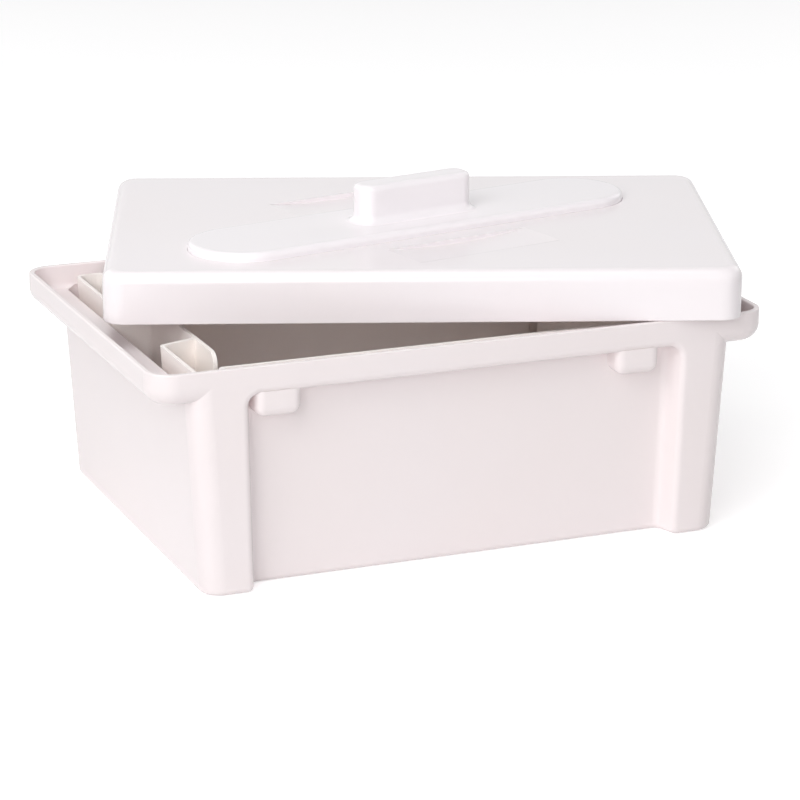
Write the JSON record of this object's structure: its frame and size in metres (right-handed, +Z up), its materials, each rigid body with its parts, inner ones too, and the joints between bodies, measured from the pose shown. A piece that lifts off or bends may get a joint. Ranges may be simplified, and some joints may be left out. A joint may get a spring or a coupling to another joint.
{
  "type": "instrument disinfection tray",
  "caption": "White moulded soaking tub with a ledged collar, a perforated lift-out instrument tray and a skirted lid with a diagonal grip handle, lying askew on the rim.",
  "frame": {"origin": "centre of the tub's flat base, on the plane that it stands on", "axes": "+X along the tub's long side, +Y from front to back, +Z up"},
  "size_m": [0.3776, 0.3038, 0.1667],
  "materials": {
    "tub_plastic": "smooth moulded white plastic, satin gloss",
    "tray_plastic": "smooth moulded white plastic, satin gloss",
    "lid_plastic": "smooth moulded white plastic, glossy",
    "handle_plastic": "smooth moulded white plastic, glossy"
  },
  "bodies": {
    "tub": {"tub": "tub_plastic"},
    "tray": {"instrument_tray": "tray_plastic"},
    "lid": {"lid": "lid_plastic", "lid_handle": "handle_plastic"}
  },
  "joints": [
    {"name": "tray_lift", "type": "slide", "parent": "tub", "child": "tray", "axis": [0, 0, 1], "range_m": [0, 0.12]},
    {"name": "lid_lift", "type": "slide", "parent": "tray", "child": "lid", "axis": [0, 0, 1], "range_m": [0, 0.1]}
  ]
}
